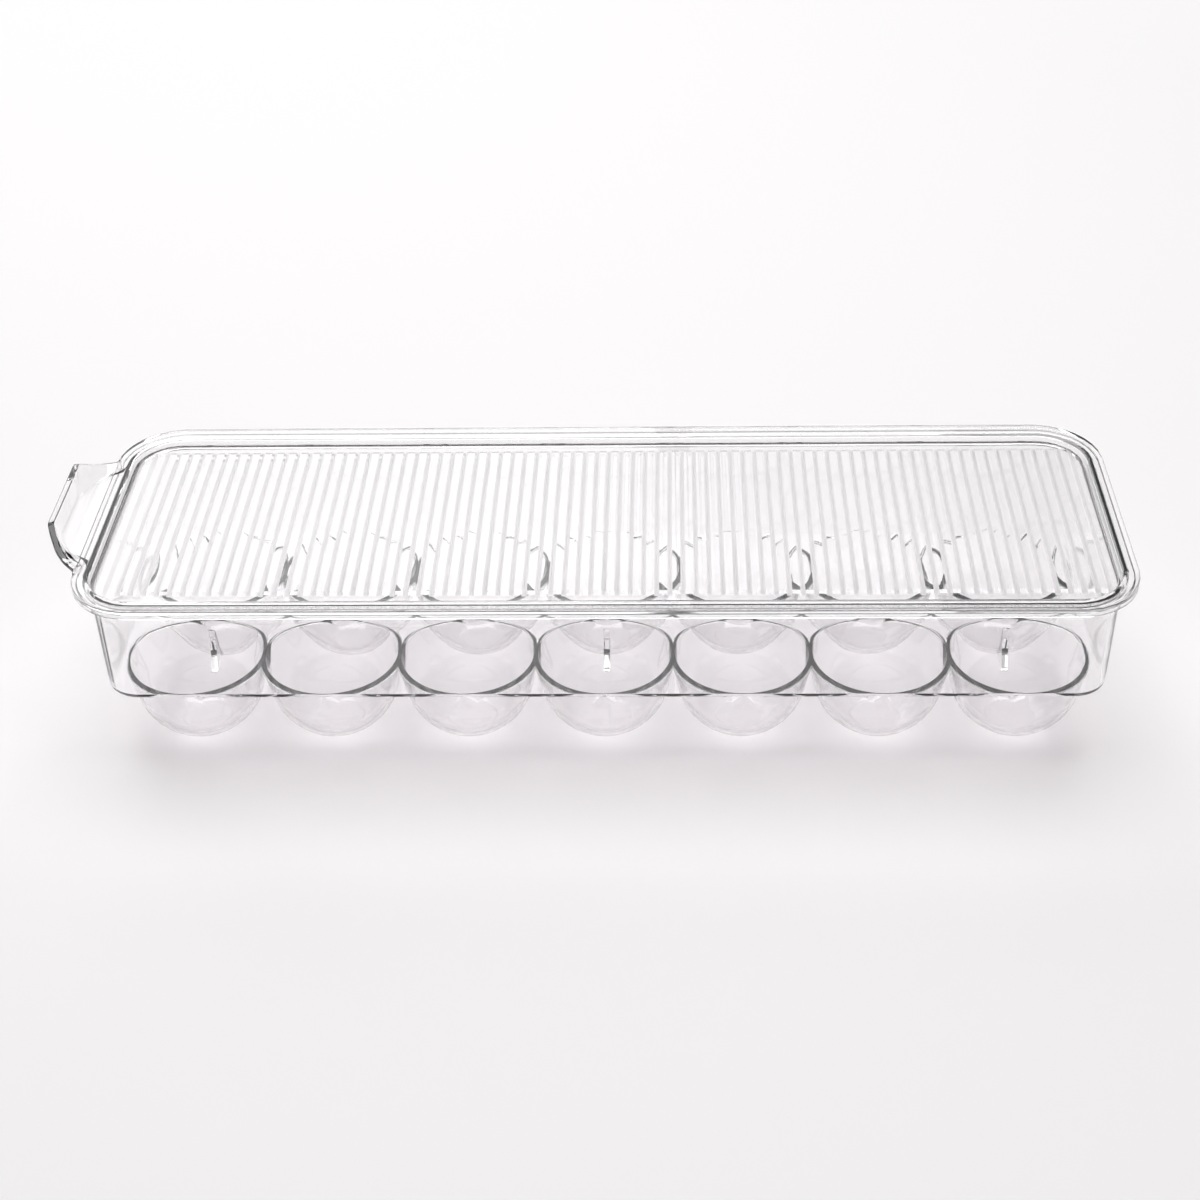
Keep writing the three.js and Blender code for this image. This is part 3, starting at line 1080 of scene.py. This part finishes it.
class WavinessGroup(ShaderGroup):
    """The slight waves and flow marks of polished plastic."""

    wave_detail: float = 1.0
    most_roughness: float = 0.03

    def __init__(self) -> None:
        """Build the group."""
        inputs = {"Wave Scale": 25.0, "Mark Scale": 300.0, "Mark Share": 0.2}
        super().__init__("plastic waves", inputs, ("Height", "Roughness"))
        tree, start = self.tree, self.start
        feeds = {"Vector": self.place, "Scale": start["Wave Scale"], "Detail": self.wave_detail}
        wave = add_node(tree, "ShaderNodeTexNoise", feeds)["Fac"]
        feeds = {"Vector": self.place, "Scale": start["Mark Scale"]}
        mark = add_node(tree, "ShaderNodeTexNoise", feeds)["Fac"]
        mix = add_node(tree, "ShaderNodeMix", {"Factor": start["Mark Share"], "A": wave, "B": mark})
        ramp = add_node(tree, "ShaderNodeMapRange", {"Value": mark, "To Max": self.most_roughness})
        add_node(tree, "NodeGroupOutput", {"Height": mix["Result"], "Roughness": ramp["Result"]})


class RibGapGroup(ShaderGroup):
    """A mask of the narrow gaps between the lid's ribs."""

    def __init__(self, form: LidMoulding) -> None:
        """Build the group.

        Args:
            form: The lid, whose rib sizes set the gaps.
        """
        sizes = {
            "First Gap": form.first_rib() + form.rib_top_width / 2 + ROW_CENTRE_X,
            "Pitch": form.rib_pitch,
            "Gap": form.rib_pitch - form.rib_top_width,
            "Half Length": form.rib_half_length,
        }
        super().__init__("rib gaps", {name: size * MM for name, size in sizes.items()}, ("Mask",))
        tree, start = self.tree, self.start
        split = add_node(tree, "ShaderNodeSeparateXYZ", {"Vector": self.place})
        past_first = calculate(tree, "SUBTRACT", split["X"], start["First Gap"])
        in_pitch = calculate(tree, "FLOORED_MODULO", past_first, start["Pitch"])
        in_gap = calculate(tree, "LESS_THAN", in_pitch, start["Gap"])
        off_middle = calculate(tree, "ABSOLUTE", split["Y"])
        in_length = calculate(tree, "GREATER_THAN", start["Half Length"], off_middle)
        add_node(tree, "NodeGroupOutput", {"Mask": calculate(tree, "MULTIPLY", in_gap, in_length)})


class FootGroup(ShaderGroup):
    """A mask of the undersides of the cups' feet, where the tray plastic is grained and darkened by painted
    shade.
    """

    height: float = 0.0003

    def __init__(self) -> None:
        """Build the group."""
        super().__init__("cup feet", {"Height": self.height}, ("Mask",))
        split = add_node(self.tree, "ShaderNodeSeparateXYZ", {"Vector": self.place})
        below = calculate(self.tree, "LESS_THAN", split["Z"], self.start["Height"])
        add_node(self.tree, "NodeGroupOutput", {"Mask": below})


@dataclass(frozen=True)
class ClearPlastic:
    """A polished clear plastic, grained and given a second tint where a mask says so; on the tray's cup feet
    that tint is painted shade.
    """

    name: str
    tint: Colour = (0.99, 0.986, 0.991)
    index: float = 1.57
    wave_scale: float = 25.0
    wave_height: float = 0.00002
    shadow: Colour = (0.79, 0.781, 0.787)
    haze: Colour = (0.98, 0.977, 0.98)
    haze_depth: float = 8.5
    diffuse_limit: float = 0.5
    grain: float = 0.28
    # Colour where the mask says; where it is darker than the tint it is painted shade, as on the tray's cup
    # feet.
    grained_painted_shade_tint: Colour = (0.99, 0.986, 0.991)

    def material(self, waves: WavinessGroup, grained: ShaderGroup) -> bpy.types.Material:
        """Return the material.

        Args:
            waves: The shared group for the waves.
            grained: The group that marks where the plastic is grained and takes the second tint, which is
                painted shade where it is darker than the first.

        Returns:
            The new material.
        """
        made = bpy.data.materials.new(self.name)
        made.use_nodes = True
        tree = made.node_tree
        tree.nodes.clear()
        wave = add_node(tree, "ShaderNodeGroup", {"Wave Scale": self.wave_scale}, node_tree=waves.tree)
        mask = add_node(tree, "ShaderNodeGroup", node_tree=grained.tree)["Mask"]
        feeds = {"Height": wave["Height"], "Distance": self.wave_height, "Strength": 1.0}
        bump = add_node(tree, "ShaderNodeBump", feeds)
        # Where the mask says, the colour turns to the second tint: painted shade on the tray's cup feet.
        feeds = {"Factor": mask, MIX_A: (*self.tint, 1.0), MIX_B: (*self.grained_painted_shade_tint, 1.0)}
        colour = add_node(tree, "ShaderNodeMix", feeds, data_type="RGBA")
        feeds = {
            "Base Color": colour[MIX_RESULT],
            "Roughness": calculate(tree, "MULTIPLY_ADD", mask, self.grain, wave["Roughness"]),
            "Normal": bump["Normal"],
            "IOR": self.index,
            "Transmission Weight": 1.0,
            "Metallic": 0.0,
        }
        body = add_node(tree, "ShaderNodeBsdfPrincipled", feeds)
        surface = self._pass_rays(tree, body["BSDF"])
        add_node(tree, "ShaderNodeOutputMaterial", {"Surface": surface})
        return made

    def _pass_rays(self, tree: bpy.types.NodeTree, body: bpy.types.NodeSocket) -> bpy.types.NodeSocket:
        """Let shadow rays and the deepest rays pass straight through the plastic.

        Args:
            tree: The material's node tree.
            body: The surface that all other rays meet.

        Returns:
            The surface for all rays.
        """
        path = add_node(tree, "ShaderNodeLightPath")
        deep = calculate(tree, "GREATER_THAN", path["Ray Depth"], self.haze_depth)
        direct = calculate(tree, "LESS_THAN", path["Diffuse Depth"], self.diffuse_limit)
        hazed = add_node(tree, "ShaderNodeBsdfTransparent", {"Color": (*self.haze, 1.0)})
        through = add_node(tree, "ShaderNodeBsdfTransparent", {"Color": (*self.shadow, 1.0)})
        feeds = {"Fac": calculate(tree, "MULTIPLY", deep, direct), 1: body, 2: hazed["BSDF"]}
        inner = add_node(tree, "ShaderNodeMixShader", feeds)
        feeds = {"Fac": path["Is Shadow Ray"], 1: inner["Shader"], 2: through["BSDF"]}
        return add_node(tree, "ShaderNodeMixShader", feeds)["Shader"]


@dataclass(frozen=True)
class PhotoCamera:
    """The camera, solved from the cup rings, the rim and the lid."""

    place: Point3 = (21.4, -563.9, 414.0)
    yaw: float = -2.38
    look_down: float = 36.0
    roll: float = -1.56
    lens: float = 60.75
    sensor: float = 36.0
    clip: Point2 = (0.01, 30.0)

    def build(self) -> None:
        """Add the camera object and make it the scene's camera."""
        yaw, down, roll = (math.radians(a) for a in (self.yaw, self.look_down, self.roll))
        ahead_x, ahead_y = math.sin(yaw) * math.cos(down), math.cos(yaw) * math.cos(down)
        forward = Vector((ahead_x, ahead_y, -math.sin(down)))
        level_right = Vector((math.cos(yaw), -math.sin(yaw), 0.0))
        level_up = level_right.cross(forward)
        right = math.cos(roll) * level_right + math.sin(roll) * level_up
        up = -math.sin(roll) * level_right + math.cos(roll) * level_up
        turn = Matrix((right, up, -forward)).transposed().to_4x4()
        data = bpy.data.cameras.new("camera")
        data.sensor_width = self.sensor
        data.lens = self.lens
        data.clip_start, data.clip_end = self.clip
        camera = bpy.data.objects.new("camera", data)
        camera.matrix_world = Matrix.Translation(placed(self.place)) @ turn
        bpy.context.scene.collection.objects.link(camera)
        bpy.context.scene.camera = camera


@dataclass(frozen=True)
class Lamp:
    """One soft rectangular lamp, aimed at a point."""

    name: str
    place: Point3
    aim: Point3
    size: Point2
    power: float

    def build(self) -> None:
        """Add the lamp object."""
        data = bpy.data.lights.new(self.name, "AREA")
        data.shape = "RECTANGLE"
        data.size, data.size_y = self.size
        data.energy = self.power
        lamp = bpy.data.objects.new(self.name, data)
        turn = (Vector(self.aim) - Vector(self.place)).to_track_quat("-Z", "Y")
        lamp.matrix_world = Matrix.Translation(self.place) @ turn.to_matrix().to_4x4()
        bpy.context.scene.collection.objects.link(lamp)


@dataclass(frozen=True)
class Studio:
    """A pale floor, a white dome with a dark band near the horizon, and soft lamps."""

    floor_half: float = 4.0
    floor_drop: float = 0.0002
    floor_colour: Colour = (0.939, 0.92, 0.928)
    floor_roughness: float = 0.6
    floor_specular: float = 0.2
    floor_fade: Point2 = (0.5, 1.2)
    dome_steps: tuple[Point2, Point2] = ((0.05, 0.25), (0.45, 1.0))
    dome_strength: float = 0.15
    front_reach: Point2 = (-0.1, -0.6)
    front_strength: float = 0.7
    lamps: tuple[Lamp, ...] = (
        Lamp("overhead softbox", (0.0, 0.35, 2.1), (0.0, 0.1, 0.0), (1.9, 1.5), 41.0),
        Lamp("window", (-0.65, 1.35, 0.95), (-0.1, 0.0, 0.05), (1.4, 0.9), 5.6),
        Lamp("window edge", (0.2, 1.4, 0.95), (0.0, 0.0, 0.05), (0.3, 0.9), 0.7),
        Lamp("far window", (0.5, 1.38, 0.95), (0.0, 0.0, 0.05), (0.3, 0.9), 0.3),
    )

    def build(self) -> None:
        """Build the floor, the dome and the lamps."""
        self._floor()
        self._dome()
        for lamp in self.lamps:
            lamp.build()

    def _floor(self) -> None:
        """Build the pale floor, which catches the object's shadow."""
        half, z = self.floor_half, -self.floor_drop
        data = bpy.data.meshes.new("floor")
        corners = [(-half, -half, z), (half, -half, z), (half, half, z), (-half, half, z)]
        data.from_pydata(corners, [], [(0, 1, 2, 3)])
        floor = bpy.data.objects.new("floor", data)
        bpy.context.scene.collection.objects.link(floor)
        surface = bpy.data.materials.new("floor")
        surface.use_nodes = True
        body = surface.node_tree.nodes["Principled BSDF"]
        feeds = {
            "Base Color": (*self.floor_colour, 1.0),
            "Roughness": self.floor_roughness,
            "Specular IOR Level": self.floor_specular,
        }
        feed(body, feeds)
        self._fade(surface.node_tree, body.outputs["BSDF"])
        data.materials.append(surface)

    def _fade(self, tree: bpy.types.NodeTree, body: bpy.types.NodeSocket) -> None:
        """Fade the far floor to the white of the backdrop, for the camera's own rays.

        Args:
            tree: The floor's node tree.
            body: The floor's plain surface.
        """
        place = add_node(tree, "ShaderNodeTexCoord")
        reach = add_node(tree, "ShaderNodeVectorMath", {0: place["Object"]}, operation="LENGTH")
        low, high = self.floor_fade
        feeds = {"Value": reach["Value"], "From Min": low, "From Max": high}
        far = add_node(tree, "ShaderNodeMapRange", feeds, interpolation_type="SMOOTHSTEP")
        path = add_node(tree, "ShaderNodeLightPath")
        share = calculate(tree, "MULTIPLY", far["Result"], path["Is Camera Ray"])
        white = add_node(tree, "ShaderNodeEmission")
        mix = add_node(tree, "ShaderNodeMixShader", {"Fac": share, 1: body, 2: white["Emission"]})
        feed(tree.nodes["Material Output"], {"Surface": mix["Shader"]})

    def _dome(self) -> None:
        """Build the world: white above, dark near the horizon, paler in front for what the plastic shows."""
        world = bpy.data.worlds.new("studio dome")
        world.use_nodes = True
        bpy.context.scene.world = world
        tree = world.node_tree
        back = tree.nodes["Background"]
        place = add_node(tree, "ShaderNodeTexCoord")
        split = add_node(tree, "ShaderNodeSeparateXYZ", {"Vector": place["Generated"]})
        path = add_node(tree, "ShaderNodeLightPath")
        ramp = tree.nodes.new("ShaderNodeValToRGB")
        for step, (height, grey) in zip(ramp.color_ramp.elements, self.dome_steps):
            step.position, step.color = height, (grey, grey, grey, 1.0)
        feed(ramp, {"Fac": split["Z"]})
        low, high = self.front_reach
        feeds = {"Value": split["Y"], "From Min": low, "From Max": high, "To Max": self.front_strength}
        front = add_node(tree, "ShaderNodeMapRange", feeds)
        shown = calculate(tree, "MAXIMUM", path["Is Glossy Ray"], path["Is Transmission Ray"])
        strength = calculate(tree, "MULTIPLY_ADD", front["Result"], shown, self.dome_strength)
        feed(back, {"Color": ramp.outputs["Color"], "Strength": strength})
        white = add_node(tree, "ShaderNodeBackground", {"Color": (1.0, 1.0, 1.0, 1.0)})
        feeds = {"Fac": path["Is Camera Ray"], 1: back.outputs["Background"], 2: white["Background"]}
        mix = add_node(tree, "ShaderNodeMixShader", feeds)
        feed(tree.nodes["World Output"], {"Surface": mix["Shader"]})


TRAY_NODES = tuple(frame["record"]["behaviour"]["bodies"]["tray"])
# The tray's cup feet get a darker tint: painted shade that makes them look grey.
TRAY_PLASTIC = ClearPlastic("clear tray plastic", haze_depth=30.0, grained_painted_shade_tint=(0.76, 0.75, 0.76))
LID_PLASTIC = ClearPlastic("clear lid plastic")


def main() -> None:
    """Build the camera, the two mouldings and the studio."""
    logging.basicConfig(level=logging.INFO, format="%(message)s")
    PhotoCamera().build()
    scene = bpy.context.scene
    scene.view_settings.view_transform = "Standard"
    waves = WavinessGroup()
    ribs = RowOfRibs()

    tray_form, ties = TrayMoulding(), TieRibs()
    tray_plastic = TRAY_PLASTIC.material(waves, FootGroup())
    tray = tray_form.skin().mesh("tray_moulding")
    ribs.apply(tray, ties.plate(), ties.count, -ties.pitch, ties.pitch, tray_plastic)
    shade(tray, tray_form.crisp_degrees)
    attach(tray, "tray")
    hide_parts(*TRAY_NODES)
    log.info("tray: %d faces", len(tray.data.polygons))

    lid_form = LidMoulding()
    lid_plastic = LID_PLASTIC.material(waves, RibGapGroup(lid_form))
    lid = lid_form.plate()
    ribs.apply(lid, lid_form.rib(), lid_form.rib_count, lid_form.first_rib(), lid_form.rib_pitch, lid_plastic)
    shade(lid, lid_form.crisp_degrees)
    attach(lid, "lid")
    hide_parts("lid")
    log.info("lid: %d faces", len(lid.data.polygons))

    Studio().build()


if __name__ == "__main__":
    main()
